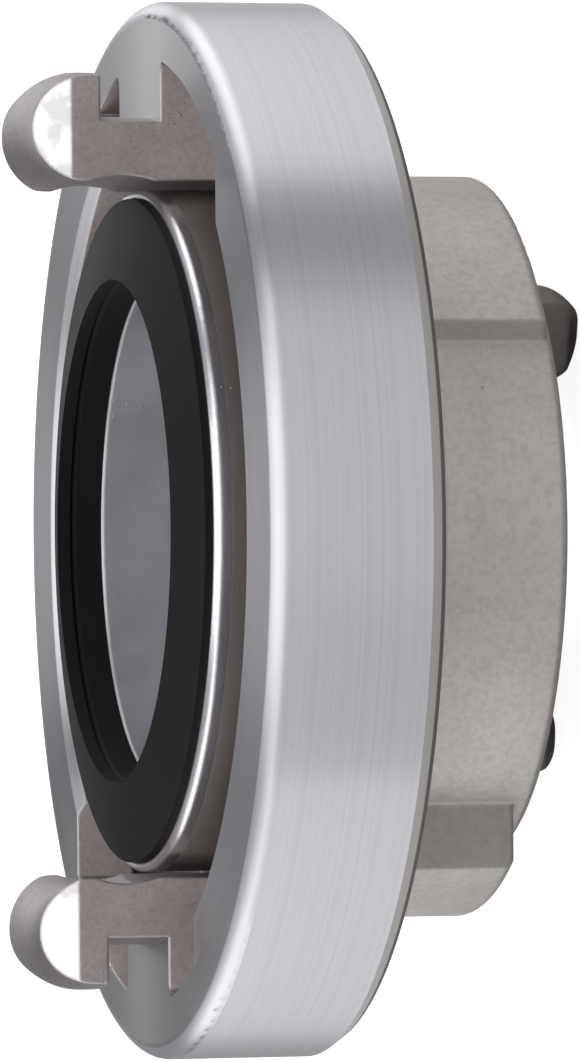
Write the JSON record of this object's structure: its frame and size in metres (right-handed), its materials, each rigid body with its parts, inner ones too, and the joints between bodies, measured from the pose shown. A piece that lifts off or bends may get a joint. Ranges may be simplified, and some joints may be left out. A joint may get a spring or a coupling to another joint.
{
  "type": "quarter turn fire hose coupling",
  "caption": "Sexless claw coupling reducer for fire hoses: a swivelling large claw ring on a cast body with a small claw half, rubber seals in both faces.",
  "frame": {"origin": "on the waterway's axis, level with the tips of the small half's claws, on which the coupling stands", "axes": "+Z along the waterway from the small half to the large half; the large half's claws lie on +X and -X"},
  "size_m": [0.098, 0.098, 0.0516],
  "materials": {
    "cast_aluminium": "raw cast",
    "machined_aluminium": "turned rim and face, cast claws",
    "spring_steel": "plain",
    "seal_rubber": "matt black"
  },
  "bodies": {
    "body": {"reducer_body": "cast_aluminium", "retaining_ring": "spring_steel", "large_seal": "seal_rubber", "small_seal": "seal_rubber"},
    "ring": {"locking_ring": "machined_aluminium"}
  },
  "joints": [
    {"name": "ring_swivel", "type": "hinge", "parent": "body", "child": "ring", "pos_m": [0, 0, 0.032], "axis": [0, 0, 1], "continuous": true}
  ]
}
